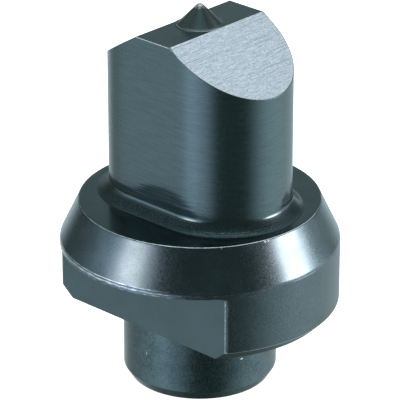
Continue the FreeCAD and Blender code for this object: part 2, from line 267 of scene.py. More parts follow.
def join_grids(name, grids, materials):
    """One mesh from several grids: numbers shifted, borders merged, folded cells dropped."""
    starts = np.cumsum([0] + [len(one[0]) for one in grids[:-1]])
    points = np.vstack([one[0] for one in grids])
    quads = np.vstack([one[1] + start for one, start in zip(grids, starts)])
    mesh = bpy.data.meshes.new(name)
    mesh.from_pydata(points.tolist(), [], quads.tolist())
    mesh.polygons.foreach_set("material_index", np.concatenate([one[2] for one in grids]))
    worn = mesh.attributes.new("wear", "FLOAT", "POINT")
    worn.data.foreach_set("value", np.concatenate([one[3] for one in grids]).astype(np.float32))
    for material in materials:
        mesh.materials.append(material)
    shell = bmesh.new()
    shell.from_mesh(mesh)
    bmesh.ops.remove_doubles(shell, verts=shell.verts, dist=SAME_PLACE)
    bmesh.ops.dissolve_degenerate(shell, edges=shell.edges, dist=SAME_PLACE)
    open_edges = sum(edge.is_boundary for edge in shell.edges)
    volume = shell.calc_volume(signed=True) / MM ** 3
    shell.to_mesh(mesh)
    shell.free()
    mesh.polygons.foreach_set("use_smooth", np.ones(len(mesh.polygons), bool))
    mesh.set_sharp_from_angle(angle=SHARP)
    print(name, len(mesh.polygons), "faces,", open_edges, "open edges,", round(volume, 1), "mm3")
    return mesh


def seat(mesh, node):
    """Show the mesh in place of a CAD node. It rides on the punch's only body."""
    piece = bpy.data.objects.new(mesh.name, mesh)
    bpy.context.scene.collection.objects.link(piece)
    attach(piece, "root")
    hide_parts(node)
    return piece


print("points closer than", round(SAME_PLACE / MM, 4), "mm become one")

# %% [markdown]
# ## Broken edges
#
# No turned or ground edge is perfectly sharp. A deburring stone leaves a small round, from two
# hundredths to two tenths of a millimetre wide, and that round catches the light as a thin line.
# A Bevel modifier could add it afterwards. Here it is part of the profile, so that the wear can
# be highest exactly on the edge.

# %% Round the corners of a profile
SUPPORT = 2.0
EDGE_STEPS = 4
BLEND = np.linspace(0.0, 1.0, EDGE_STEPS + 1)


def unit(vectors):
    """Each vector divided by its length."""
    return vectors / np.linalg.norm(vectors, axis=-1, keepdims=True)


def round_corners(corners, breaks, worn=1.0):
    """Round the inner corners of a profile of (radius, height) rows by the given edge breaks.

    A corner becomes (1-t)^2 start + 2t(1-t) corner + t^2 end, where start and end lie one break
    before and after it. A support point beyond each end keeps the shading of the flats even. It
    takes at most a third of the flat. Wear is worn * 4t(1-t): highest in the middle of the edge
    and 0 where it ends.
    """
    corners = np.asarray(corners, float)
    size = np.broadcast_to(breaks, len(corners) - 2)
    taken = np.concatenate([[0.0], size, [0.0]])
    free = np.linalg.norm(np.diff(corners, axis=0), axis=1) - taken[:-1] - taken[1:]
    corner = corners[1:-1, None]
    behind = unit(corners[:-2] - corners[1:-1])[:, None]
    ahead = unit(corners[2:] - corners[1:-1])[:, None]
    far_behind = size + np.minimum(SUPPORT * size, free[:-1] / 3)
    far_ahead = size + np.minimum(SUPPORT * size, free[1:] / 3)
    step = size[:, None, None]
    t = BLEND[None, :, None]
    curve = corner + (1 - t) ** 2 * behind * step + t ** 2 * ahead * step
    rows = np.concatenate([corner + behind * far_behind[:, None, None], curve,
                           corner + ahead * far_ahead[:, None, None]], axis=1)
    edge = np.concatenate([[0.0], 4 * BLEND * (1 - BLEND), [0.0]])
    wear = np.broadcast_to(worn, len(corner))[:, None] * edge
    return np.vstack([corners[:1], rows.reshape(-1, 2), corners[-1:]]), \
        np.concatenate([[0.0], wear.reshape(-1), [0.0]])


print("rows over an edge, as shares of its round:", BLEND.tolist())

# %% [markdown]
# ## Finishes
#
# Black oxide is a conversion coating: hot salts turn the steel's own skin into a thin dark layer.
# It copies the surface under it, so a turned cone stays glossy and shows fine rings, a milled
# flat stays dull, and an edge that is rubbed shows bare steel again. Each finish starts as a
# metal, with the default IOR, and gets its grain, its tool marks and its wear from patterns whose
# scale is a real size in millimetres. Rings 0.12 mm apart are what a fine turning feed leaves.
# Grit leaves lines too fine for this picture, so they are drawn about 0.1 mm wide.

# %% Make patterns with real sizes
RAGGED = 0.9
ZONE_BORDER = (1.6, 1.3)


def new_material(name):
    """A material without nodes, and its tree."""
    material = bpy.data.materials.new(name)
    material.use_nodes = True
    tree = material.node_tree
    tree.nodes.clear()
    return material, tree


def noise(tree, vector, scale, detail=3.0):
    """A noise whose cells have a size in metres, or one size along each axis."""
    sizes = scale if isinstance(scale, tuple) else (scale, scale, scale)
    cells = add(tree, "ShaderNodeVectorMath", {"operation": "DIVIDE", 1: sizes}, {0: vector})
    return add(tree, "ShaderNodeTexNoise", {"Scale": 1.0, "Detail": detail},
               {"Vector": cells.outputs[0]}).outputs[0]


def turned_place(tree, place):
    """Radius, X and height of a point: patterns fine in radius and height run round the axis."""
    parts = add(tree, "ShaderNodeSeparateXYZ", links={0: place}).outputs
    level = add(tree, "ShaderNodeVectorMath", {"operation": "MULTIPLY", 1: (1.0, 1.0, 0.0)},
                {0: place})
    radius = add(tree, "ShaderNodeVectorMath", {"operation": "LENGTH"}, {0: level.outputs[0]})
    return add(tree, "ShaderNodeCombineXYZ", links={
        "X": radius.outputs["Value"], "Y": parts["X"], "Z": parts["Z"]}).outputs[0]


def near(tree, place, ragged, zones):
    """1 inside any of the zones, 0 outside. A zone is a centre and its three half sizes in mm.

    The measure is the length of (place - centre) / half sizes. The ragged pattern is added to
    it, so that a zone ends as unevenly as a real scratch.
    """
    inside = None
    for centre, half in zones:
        offset = add(tree, "ShaderNodeVectorMath",
                     {"operation": "SUBTRACT", 1: Vector(centre) * MM}, {0: place})
        scaled = add(tree, "ShaderNodeVectorMath",
                     {"operation": "DIVIDE", 1: Vector(half) * MM}, {0: offset.outputs[0]})
        distance = add(tree, "ShaderNodeVectorMath", {"operation": "LENGTH"}, {0: scaled.outputs[0]})
        border = add(tree, "ShaderNodeMath", {"operation": "MULTIPLY_ADD", 1: RAGGED},
                     {0: ragged, 2: distance.outputs["Value"]})
        share = add(tree, "ShaderNodeMapRange", smooth(*ZONE_BORDER),
                    {"Value": border.outputs[0]}).outputs[0]
        if inside is not None:
            share = add(tree, "ShaderNodeMath", {"operation": "MAXIMUM"},
                        {0: inside, 1: share}).outputs[0]
        inside = share
    return inside


print("a zone ends between", min(ZONE_BORDER), "and", max(ZONE_BORDER), "of its measure")

# %% Find where the skin is dull, and where shade is painted in the root's crease
SCUFF_BORDER = 0.1 * MM
SCUFF_STREAKS = (0.48, 0.7, 1.0, 0.3)
SCUFFED_END = (-6.5 * MM, -5.0 * MM, 1.0, 0.0)
# Between these limits the root's toe is made matt and darkened with painted shade.
MATT_SHADE_RISE = (COLLAR_TOP, COLLAR_TOP + 0.03 * MM)
MATT_SHADE_FADE = (COLLAR_TOP + 0.8 * MM, COLLAR_TOP + 1.05 * MM, 0.95, 0.0)
MATT_SHADE_MOTTLE = (0.45, 0.7, 1.0, 0.5)
MATT_SHADE_BACK = (3.9 * MM, 5.2 * MM, 1.0, 0.1)


def scuff_and_shade_share(tree, place, marks, mottle, scuffs):
    """How much scuff tone, shade and roughness the skin gets, from 0 to 1: the larger of the
    scuffs and the root's toe.

    The scuffs stay above the root's fillet, except at the blade's -X end, where they run down
    over it. The toe is matt and darkened with painted shade, the shade of the crease at the
    collar, up to a millimetre above the collar's top. At the back, matt and shade fade to a tenth.
    """
    parts = add(tree, "ShaderNodeSeparateXYZ", links={0: place}).outputs
    above_root = add(tree, "ShaderNodeMapRange",
                     smooth(ROOT_TOP - SCUFF_BORDER, ROOT_TOP + SCUFF_BORDER), {"Value": parts["Z"]})
    at_end = add(tree, "ShaderNodeMapRange", smooth(*SCUFFED_END), {"Value": parts["X"]})
    reached = add(tree, "ShaderNodeMath", {"operation": "MAXIMUM"},
                  {0: above_root.outputs[0], 1: at_end.outputs[0]})
    streaks = add(tree, "ShaderNodeMapRange", smooth(*SCUFF_STREAKS), {"Value": marks})
    streaky = add(tree, "ShaderNodeMath", {"operation": "MULTIPLY"},
                  {0: near(tree, place, marks, scuffs), 1: streaks.outputs[0]})
    scuffed = add(tree, "ShaderNodeMath", {"operation": "MULTIPLY"},
                  {0: streaky.outputs[0], 1: reached.outputs[0]})
    # The toe: matt, and darkened with painted shade of the crease at the collar. It fades up the fillet
    # and towards the back.
    toe = add(tree, "ShaderNodeMapRange", smooth(*MATT_SHADE_RISE), {"Value": parts["Z"]})
    for limits, source in ((MATT_SHADE_FADE, parts["Z"]), (MATT_SHADE_MOTTLE, mottle), (MATT_SHADE_BACK, parts["Y"])):
        share = add(tree, "ShaderNodeMapRange", smooth(*limits), {"Value": source})
        toe = add(tree, "ShaderNodeMath", {"operation": "MULTIPLY"},
                  {0: toe.outputs[0], 1: share.outputs[0]})
    return add(tree, "ShaderNodeMath", {"operation": "MAXIMUM"},
               {0: scuffed.outputs[0], 1: toe.outputs[0]}).outputs[0]


print("scuffs start", round((ROOT_TOP - COLLAR_TOP) / MM, 2), "mm above the collar")

# %% Make black-oxided steel
# This darker tone serves the real scuffs, and also paints shade on the root's toe.
SCUFF_AND_SHADE_TONE = "2a3b40"
BARE_STEEL = "c0cdd8"
CLOUD = 2.5 * MM
WEAR_SPOTS = 0.25 * MM
TONE_RANGE = (0.36, 0.64)
GLOSS_RANGE = (0.3, 0.7)
GLOSS_BELOW = 0.05
GLOSS_ABOVE = 0.07
DULLING = 0.22
SCUFF_RELIEF = 4
SPOT_SHARE = 0.8
BARE_RANGE = (0.8, 1.15)


def black_oxide(name, tone, tone_light, roughness, grain, grain_depth, mark_scale, mark_depth,
                turned=False, scuffs=(), nicks=(), wear_scale=WEAR_SPOTS, bare=BARE_STEEL,
                bare_share=1.0, cloud_scale=CLOUD, speckle=0.4):
    """Steel with a thin black oxide skin: dark, slightly blue, and as glossy as what it covers.

    Grain is the size of the skin's mottling, mark_scale the size of the tool marks along each
    axis (along radius, X and height on a turned face), and the depths are heights of the bump.
    The tone follows slow clouds and the fine mottling, mixed by the share of speckle.
    Scuffs are zones that a file or a wheel has left matt and darker, and a finish with scuffs
    also has the root's matt toe, darkened with painted shade. Nicks are zones of bare steel.
    Edges go bare where their wear and a spotty noise add up to enough.
    """
    material, tree = new_material(name)
    place = add(tree, "ShaderNodeTexCoord").outputs["Object"]
    along = turned_place(tree, place) if turned else place
    marks = noise(tree, along, mark_scale, 1.5)
    mottle = noise(tree, place, grain, 4.0)
    cloud = noise(tree, place, cloud_scale, 2.0)
    shade = add(tree, "ShaderNodeMix", {"data_type": "FLOAT", 0: speckle}, {2: cloud, 3: mottle})
    lightness = add(tree, "ShaderNodeMapRange", smooth(*TONE_RANGE), {"Value": shade.outputs[0]})
    colour = add(tree, "ShaderNodeMix", {"data_type": "RGBA", 6: linear(tone), 7: linear(tone_light)},
                 {0: lightness.outputs[0]}).outputs[2]
    gloss = add(tree, "ShaderNodeMapRange",
                smooth(*GLOSS_RANGE, roughness - GLOSS_BELOW, roughness + GLOSS_ABOVE),
                {"Value": mottle}).outputs[0]
    depth = None
    if scuffs:
        scuff_and_shade = scuff_and_shade_share(tree, place, marks, mottle, scuffs)
        # Scuffs and the root's toe mix in the darker tone: real on the scuffs, painted shade on the toe.
        colour = add(tree, "ShaderNodeMix", {"data_type": "RGBA", 7: linear(SCUFF_AND_SHADE_TONE)},
                     {0: scuff_and_shade, 6: colour}).outputs[2]
        gloss = add(tree, "ShaderNodeMath", {"operation": "MULTIPLY_ADD", 1: DULLING},
                    {0: scuff_and_shade, 2: gloss}).outputs[0]
        depth = add(tree, "ShaderNodeMapRange",
                    smooth(0.0, 1.0, mark_depth, SCUFF_RELIEF * mark_depth), {"Value": scuff_and_shade})
    spots = noise(tree, along, wear_scale, 2.0)
    worn = add(tree, "ShaderNodeAttribute", {"attribute_name": "wear"}).outputs["Fac"]
    if nicks:
        worn = add(tree, "ShaderNodeMath", {"operation": "MAXIMUM"},
                   {0: worn, 1: near(tree, place, spots, nicks)}).outputs[0]
    rubbed = add(tree, "ShaderNodeMath", {"operation": "MULTIPLY_ADD", 1: SPOT_SHARE},
                 {0: spots, 2: worn})
    bared = add(tree, "ShaderNodeMapRange", smooth(*BARE_RANGE, 0.0, bare_share),
                {"Value": rubbed.outputs[0]})
    colour = add(tree, "ShaderNodeMix", {"data_type": "RGBA", 7: linear(bare)},
                 {0: bared.outputs[0], 6: colour}).outputs[2]
    grain_bump = add(tree, "ShaderNodeBump", {"Distance": grain_depth}, {"Height": mottle})
    mark_bump = add(tree, "ShaderNodeBump", {"Distance": mark_depth},
                    {"Height": marks, "Normal": grain_bump.outputs[0]})
    if depth is not None:
        tree.links.new(depth.outputs[0], mark_bump.inputs["Distance"])
    shader = add(tree, "ShaderNodeBsdfPrincipled", {"Metallic": 1.0},
                 {"Base Color": colour, "Roughness": gloss, "Normal": mark_bump.outputs[0]})
    add(tree, "ShaderNodeOutputMaterial", links={"Surface": shader.outputs[0]})
    return material


print("bare steel in linear:", [round(float(part), 3) for part in linear(BARE_STEEL)])

# %% Mix the oxide finishes for each kind of tool mark
# Pale steel for the point's worn tip, and for the painted highlight on the hollow's lip.
POINT_WEAR_AND_GLINT = "aeb2bd"
WEAR_STREAK = (0.2 * MM, 0.7 * MM, 0.1 * MM)
ROOT_SCUFFS = [((1.5, -6.9, 21.0), (3.9, 1.5, 2.15)), ((-3.5, -6.9, 20.9), (5.0, 1.5, 0.9)),
               ((9.9, 1.9, 21.1), (0.7, 1.0, 1.2)), ((-7.8, -4.8, 20.6), (2.4, 2.4, 1.2))]
SPIGOT_NICKS = [((7.67, -1.99, 4.36), (0.18, 0.18, 0.1)), ((-0.08, -7.92, 4.48), (0.03, 0.3, 0.15))]
RIM_NICKS = [((12.0, -3.42, 19.5), (0.14, 0.14, 0.14)), ((12.1, -3.03, 19.5), (0.12, 0.12, 0.12)),
             ((9.93, -7.54, 19.5), (0.1, 0.1, 0.12))]

# Fine turning leaves the cone glossy: it mirrors the lights, broken up by its rings.
turned_cone = black_oxide("black_oxide_turned_cone", "50636c", "5c6f79", 0.22, 0.14 * MM, 0.003 * MM,
                          (0.12 * MM, 9 * MM, 0.12 * MM), 0.0015 * MM, turned=True, nicks=RIM_NICKS,
                          wear_scale=WEAR_STREAK)

# The band was turned more coarsely: the lights spread to a grainy sheen.
turned_band = black_oxide("black_oxide_turned_band", "4a595f", "5a6b73", 0.34, 0.14 * MM, 0.006 * MM,
                          (0.12 * MM, 6 * MM, 0.15 * MM), 0.002 * MM, turned=True, bare_share=0.5,
                          speckle=0.85)

# The cutter left the key flat dull, with level marks: it looks like one even, dark tone.
milled_flat = black_oxide("black_oxide_milled_flat", "47595f", "4d6167", 0.42, 0.15 * MM, 0.005 * MM,
                          (2 * MM, 2 * MM, 0.2 * MM), 0.001 * MM, bare_share=0.35, speckle=0.7)

# Grinding round the oval leaves fine level lines, which draw the lights into soft upright bands.
ground_flank = black_oxide("black_oxide_ground_flank", "4d6067", "53676e", 0.26, 0.2 * MM, 0.0015 * MM,
                           (8 * MM, 8 * MM, 0.12 * MM), 0.0016 * MM, scuffs=ROOT_SCUFFS,
                           cloud_scale=(2.5 * MM, 2.5 * MM, 0.14 * MM), speckle=0.2)

# The fillet was polished by hand: almost a mirror where it isn't scuffed or matt. Its matt toe carries
# painted shade.
polished_root = black_oxide("black_oxide_polished_root", "4d6067", "53666c", 0.14, 0.15 * MM, 0.0015 * MM,
                            (3 * MM, 3 * MM, 0.1 * MM), 0.0003 * MM, scuffs=ROOT_SCUFFS)

# The spigot slides in its bore: a mottled, half matt skin with two small chips. Its tone is darker than
# the other oxide, partly as painted shade under the collar.
spigot_skin = black_oxide("black_oxide_turned_spigot", "3d4f55", "52666d", 0.3, 0.2 * MM, 0.008 * MM,
                          (0.15 * MM, 5 * MM, 0.15 * MM), 0.002 * MM, turned=True, nicks=SPIGOT_NICKS,
                          speckle=0.6)

# The point is rubbed by every sheet that it meets: dark, with a pale greyish tip. The same pale colour
# paints a highlight on the hollow's lip.
point_skin = black_oxide("black_oxide_turned_point", "435154", "4b5b5e", 0.3, 0.12 * MM, 0.003 * MM,
                         (0.1 * MM, 3 * MM, 0.1 * MM), 0.002 * MM, turned=True, bare=POINT_WEAR_AND_GLINT)
print("oxide finishes ready")

# %% Make freshly ground steel
GROUND_TONES = ("9aaebf", "ced9e3")
GROUND_RANGE = (0.7, 1.2)
SPARKLE = (0.12 * MM, 0.3 * MM, 1.0)
SPARKLE_SHARE = 0.9
SCORED = "74858f"
SCORE_LENGTH = 8
SCORE_RANGE = (0.58, 0.74, 0.0, 0.75)
GROUND_GLOSS_BELOW = 0.06
GROUND_GLOSS_ABOVE = 0.08


def ground_steel(name, roughness, mark_length, mark_width, mark_depth):
    """Bare tool steel straight from the surface grinder: bright, with short marks along Y.

    A sparkle of small spots and the marks set the tone. A few long scores are darker.
    """
    material, tree = new_material(name)
    place = add(tree, "ShaderNodeTexCoord").outputs["Object"]
    marks = noise(tree, place, (mark_width, mark_length, 1.0), 3.0)
    scores = noise(tree, place, (mark_width, SCORE_LENGTH * mark_length, 1.0), 1.0)
    sparkle = noise(tree, place, SPARKLE)
    shade = add(tree, "ShaderNodeMath", {"operation": "MULTIPLY_ADD", 1: SPARKLE_SHARE},
                {0: sparkle, 2: marks})
    lightness = add(tree, "ShaderNodeMapRange", smooth(*GROUND_RANGE), {"Value": shade.outputs[0]})
    dark, light = GROUND_TONES
    colour = add(tree, "ShaderNodeMix", {"data_type": "RGBA", 6: linear(dark), 7: linear(light)},
                 {0: lightness.outputs[0]})
    score_share = add(tree, "ShaderNodeMapRange", smooth(*SCORE_RANGE), {"Value": scores})
    scored = add(tree, "ShaderNodeMix", {"data_type": "RGBA", 7: linear(SCORED)},
                 {0: score_share.outputs[0], 6: colour.outputs[2]})
    gloss = add(tree, "ShaderNodeMapRange",
                smooth(*GLOSS_RANGE, roughness - GROUND_GLOSS_BELOW, roughness + GROUND_GLOSS_ABOVE),
                {"Value": marks})
    bump = add(tree, "ShaderNodeBump", {"Distance": mark_depth}, {"Height": marks})
    shader = add(tree, "ShaderNodeBsdfPrincipled", {"Metallic": 1.0},
                 {"Base Color": scored.outputs[2], "Roughness": gloss.outputs[0],
                  "Normal": bump.outputs[0]})
    add(tree, "ShaderNodeOutputMaterial", links={"Surface": shader.outputs[0]})
    return material


# Freshly ground and never oxidised: by far the brightest faces, with a silky sheen across the marks.
ground_roof = ground_steel("bright_ground_steel", 0.36, 1.3 * MM, 0.08 * MM, 0.0015 * MM)
print("ground finish ready")

# %% [markdown]
# ## Collar
#
# The collar was turned in a lathe, and the key flat was milled afterwards, with a cutter whose
# rounded corner left a small fillet under a narrow land. A cylinder cut by a box would need a
# boolean, which leaves messy faces. Instead every row is one circle, and inside the flat's sector
# the radius is cut off at the flat. The sector's border follows the place where circle and flat
# meet, so the edge stays exact.

# %% Work out the collar's profile
FLAT_STEPS = np.linspace(-1.0, 1.0, 61)
ROUND_STEPS = np.linspace(0.0, 1.0, 241)
FILLET_STEPS = np.radians(np.linspace(0.0, 90.0, 7))
EDGE = 0.05 * MM
CHAMFER_BREAKS = np.array([0.05, 0.1]) * MM
CHAMFER_WEAR = (0.4, 0.9)
BAND_BREAKS = np.array([0.18, 0.09, 0.12]) * MM
BAND_WEAR = (0.7, 0.7, 0.72)


def collar_rows():
    """Rows of (round radius, sector radius, height, flat distance, wear) from bore to bore.

    The flat ends below the land in a fillet: its distance grows as 1 - cos of an angle and the
    height as sin. The land's arris is a small round, and above it nothing is cut.
    """
    fillet_foot = LEDGE - KEY_CORNER
    lower, lower_wear = round_corners([
        (BORE_RADIUS, UNDERSIDE), (COLLAR_RADIUS - COLLAR_CHAMFER, UNDERSIDE),
        (COLLAR_RADIUS, UNDERSIDE + COLLAR_CHAMFER), (COLLAR_RADIUS, fillet_foot)],
        CHAMFER_BREAKS, CHAMFER_WEAR)
    upper, upper_wear = round_corners([
        (COLLAR_RADIUS, LEDGE + EDGE), (COLLAR_RADIUS, BAND_TOP),
        (COLLAR_RADIUS - EDGE_BREAK_DEPTH, BAND_TOP + EDGE_BREAK_HEIGHT),
        (RIM_RADIUS, COLLAR_TOP), (BORE_RADIUS, COLLAR_TOP)], BAND_BREAKS, BAND_WEAR)
    arris = BLEND[:-1]
    corner = FILLET_STEPS[1:]
    uncut = np.inf
    radius = np.concatenate([lower[:, 0], np.full(len(corner) + len(arris), COLLAR_RADIUS),
                             upper[:, 0], [BORE_RADIUS]])
    sector = np.concatenate([lower[:, 0], np.full(len(corner), COLLAR_RADIUS),
                             COLLAR_RADIUS - EDGE * (1 - arris) ** 2, upper[:, 0], [BORE_RADIUS]])
    height = np.concatenate([lower[:, 1], fillet_foot + KEY_CORNER * np.sin(corner),
                             LEDGE + EDGE * arris ** 2, upper[:, 1], [UNDERSIDE]])
    flat = np.concatenate([np.full(len(lower), KEY_FLAT), KEY_FLAT + KEY_CORNER * (1 - np.cos(corner)),
                           np.full(len(arris) + len(upper) + 1, uncut)])
    wear = np.concatenate([lower_wear, np.zeros(len(corner)), 2 * arris * (1 - arris),
                           upper_wear, [0.0]])
    return radius, sector, height, flat, wear


print(len(collar_rows()[0]), "rows from bore to bore")

# %% Carry the profile round, and cut the key flat
FLAT_SUPPORT = 0.06 * MM
ROUND_SUPPORT = 0.001
LAST_FLAT = len(FLAT_STEPS) - 1


def stacked(x, y, z):
    """Points from three arrays that broadcast to one shape of rows and columns."""
    return np.dstack(np.broadcast_arrays(x, y, z))


def with_bevels(columns):
    """Add the middle of each of the flat's two bevels: after its last column and at the end."""
    cut = LAST_FLAT + 1
    right = 0.5 * (columns[:, cut - 1:cut] + columns[:, cut:cut + 1])
    left = 0.5 * (columns[:, -1:] + columns[:, :1])
    return np.hstack([columns[:, :cut], right, columns[:, cut:], left])


def cut_collar(radius, sector, height, flat):
    """Circle rows cut by the key flat.

    The angle is counted from the flat's middle. Columns share out the sector between the corners
    where circle and flat meet, less the bevel, and the rest of the circle. Inside the sector the
    radius is the smaller of the circle's and flat / cos(angle). Support columns beside the
    corners keep the shading of the flat and of the circle even.
    """
    cut = np.isfinite(flat)
    corner_flat = np.where(cut, flat, flat[cut][-1])
    corner_flat[-1] = KEY_FLAT
    corner_radius = np.maximum(radius, COLLAR_RADIUS - COLLAR_CHAMFER)
    corner_radius[~cut] = COLLAR_RADIUS
    corner_radius[-1] = COLLAR_RADIUS - COLLAR_CHAMFER
    half_chord = np.sqrt(corner_radius ** 2 - corner_flat ** 2)
    flat_end = np.arctan((half_chord - KEY_BEVEL) / corner_flat)[:, None]
    round_end = (np.arccos(corner_flat / corner_radius) + KEY_BEVEL / corner_radius)[:, None]
    beside_corner = (1 - FLAT_SUPPORT / half_chord[:, None]) * flat_end
    in_angles = FLAT_STEPS * flat_end
    in_angles[:, 1:2] = -beside_corner
    in_angles[:, -2:-1] = beside_corner
    in_radius = np.minimum(sector[:, None], flat[:, None] / np.cos(in_angles))
    shares = ROUND_STEPS.copy()
    shares[1] = ROUND_SUPPORT
    shares[-2] = 1 - ROUND_SUPPORT
    out_angles = round_end + shares * (2 * np.pi - 2 * round_end)
    out_radius = np.broadcast_to(radius[:, None], out_angles.shape)
    angle = np.hstack([in_angles, out_angles])
    reach = np.hstack([in_radius, out_radius])
    return stacked(with_bevels(reach * np.sin(angle)), with_bevels(-reach * np.cos(angle)),
                   height[:, None])


print("key flat", LAST_FLAT, "cells wide")

# %% Wear the collar's edges, and give each face its finish
TOP, CONE, BAND, FLAT = range(4)
WORN_LINE = 0.72
LAND_WEAR = 0.42
SHELTERED = 0.35
LOWER_EDGE_REACH = 0.2 * MM
LOWER_EDGE_SIDE = 1.2
RIM_REACH = 0.3 * MM
RIM_SIDE = -2.0
RIM_START = -0.5


def wear_collar(points, height, flat, wear):
    """The profile's wear, with a worn line along the key flat's upright edges and its land.

    Two edges keep more of their skin on one side, where the wear is multiplied by one less
    SHELTERED times a share. Along the cone's lower edge the share grows towards +X, and along
    the rim towards -X: side * x / R + start, held between 0 and 1.
    """
    worn = np.repeat(wear[:, None], points.shape[1], axis=1)
    across = points[..., 0] / COLLAR_RADIUS
    on_flat = np.isfinite(flat) & (height > UNDERSIDE + COLLAR_CHAMFER) & (wear == 0)
    worn[height < UNDERSIDE + 2 * COLLAR_CHAMFER, 1:LAST_FLAT] = 0.0
    worn[np.ix_(on_flat, [0, LAST_FLAT, LAST_FLAT + 2, -2])] = WORN_LINE
    lower_edge = (height > BAND_TOP - LOWER_EDGE_REACH) & (height < BAND_TOP + 2 * EDGE_BREAK_HEIGHT)
    worn[lower_edge] *= 1 - SHELTERED * np.clip(LOWER_EDGE_SIDE * across[lower_edge], 0.0, 1.0)
    rim = height > COLLAR_TOP - RIM_REACH
    worn[rim] *= 1 - SHELTERED * np.clip(RIM_SIDE * across[rim] + RIM_START, 0.0, 1.0)
    land = (height > LEDGE) & (height < BAND_TOP)
    worn[land, :LAST_FLAT + 1] = np.maximum(worn[land, :LAST_FLAT + 1], LAND_WEAR)
    return worn


def finish_collar(columns, height, flat):
    """A finish for each cell: by height, matt on the key flat, and glossy on the land above it."""
    low = height[:-1]
    on_top = low >= COLLAR_TOP - 0.5 * BAND_BREAKS[-1]
    by_height = np.where(on_top, TOP, np.where(low >= BAND_TOP, CONE, BAND))
    finish = np.repeat(by_height[:, None], columns, axis=1)
    finish[np.isfinite(flat[:-1]) & (low < LEDGE), :LAST_FLAT] = FLAT
    finish[(low >= LEDGE) & (by_height == BAND), :LAST_FLAT + 1] = CONE
    return finish


# A facing cut leaves fine rings on the flat top: glossy, with a faint picture of the blade.
top_skin = black_oxide("black_oxide_faced_top", "4f6366", "596e72", 0.2, 0.16 * MM, 0.002 * MM,
                       (0.12 * MM, 9 * MM, 0.12 * MM), 0.001 * MM, turned=True)
round_radius, sector_radius, row_height, flat_distance, row_wear = collar_rows()
collar_points = cut_collar(round_radius, sector_radius, row_height, flat_distance)
collar_wear = wear_collar(collar_points, row_height, flat_distance, row_wear)
collar_finish = finish_collar(collar_points.shape[1], row_height, flat_distance)
collar_mesh = join_grids("coned_collar", [grid(collar_points, collar_finish, collar_wear)],
                         [top_skin, turned_cone, turned_band, milled_flat])
seat(collar_mesh, "collar")

# %% [markdown]
# ## Blade and spigot
#
# Blade, shank and spigot are one piece of steel. Below, it is round. Above the collar it is an
# oval, two half circles joined by straight sides, that flares into its foot through a fillet, and
# two grinding cuts give the end its roof. An oval's parallel curve is an oval again, only with
# another half width, so the foot, the fillet and the rounded top edge are all the same outline
# with a half width that changes along the profile.

# %% Work out the oval outline and the roof
ARC_STEPS = np.radians(np.linspace(0.0, 90.0, 33))
FOLD_EDGE = 0.04 * MM
fold = HALF_STRIP + FOLD_EDGE * np.array([-SUPPORT, -1.0, -0.5, 0.0, 0.5, 1.0, SUPPORT])
beyond_fold = np.linspace(fold[-1], ARC_CENTRE, 6)[1:]
straight = np.concatenate([-beyond_fold[::-1], -fold[::-1], np.linspace(-fold[0], fold[0], 31)[1:-1],
                           fold, beyond_fold])
centres = np.concatenate([np.full(len(ARC_STEPS), -ARC_CENTRE), straight[1:-1],
                          np.full(len(ARC_STEPS), ARC_CENTRE)])
turns = np.concatenate([-ARC_STEPS[::-1], np.zeros(len(straight) - 2), ARC_STEPS])


def half_outline(half_width):
    """Columns of the oval from its -X end to its +X end: centre + width sin(turn), width cos(turn)."""
    return centres + half_width * np.sin(turns), half_width * np.cos(turns)


def outline(half_width):
    """The closed oval: along the front from -X to +X, and back along the far side."""
    x, y = half_outline(half_width)
    return np.concatenate([x, x[..., -2:0:-1]], -1), np.concatenate([-y, y[..., -2:0:-1]], -1)


def roof(x):
    """Level of the blade's end over x: flat strip, rounded fold, then down at the roof's slope.

    Past the fold the drop is slope * t. Within one edge of it the drop is slope (t + e)^2 / 4e.
    """
    t = np.abs(x) - HALF_STRIP
    bend = np.clip(t + FOLD_EDGE, 0.0, 2 * FOLD_EDGE) ** 2 / (4 * FOLD_EDGE)
    return STRIP_LEVEL - ROOF_SLOPE * (bend + np.maximum(t - FOLD_EDGE, 0.0))


print(len(centres) * 2 - 2, "columns round the oval")

# %% Work out the stem, the foot and the walls
STRIP_EDGE = 0.09 * MM
ROOF_EDGE = 0.03 * MM
top_edge = np.interp(np.abs(centres), [fold[0], ARC_CENTRE], [STRIP_EDGE, ROOF_EDGE])
STEM_EDGES = np.array([0.08, 0.08, 0.02, 0.02]) * MM
STEM_WEAR = 0.3
TOOL_LINES = np.array([0.45, 0.6])
TOOL_LINE = 0.012
TOOL_LINE_WEAR = 0.65
LINES_FROM = 4.0 * MM
LINES_FADE = 2.0 * MM
STRIP_WEAR = 1.3
ROOF_WEAR = 0.45


def stem_grid():
    """Round rows: the profile's radius in the direction of each column of the oval."""
    profile, wear = round_corners([
        (0.0, 0.0), (SPIGOT_RADIUS - SPIGOT_LEAD_DEPTH, 0.0), (SPIGOT_RADIUS, SPIGOT_LEAD_LENGTH),
        (SPIGOT_RADIUS, UNDERSIDE), (BORE_RADIUS, UNDERSIDE), (BORE_RADIUS, COLLAR_TOP)],
        STEM_EDGES, STEM_WEAR)
    x, y = outline(FOOT_HALF_WIDTH)
    angle = np.arctan2(y, x)
    radius, height = profile[:, :1], profile[:, 1:]
    return stacked(radius * np.cos(angle), radius * np.sin(angle), height), wear[:, None]


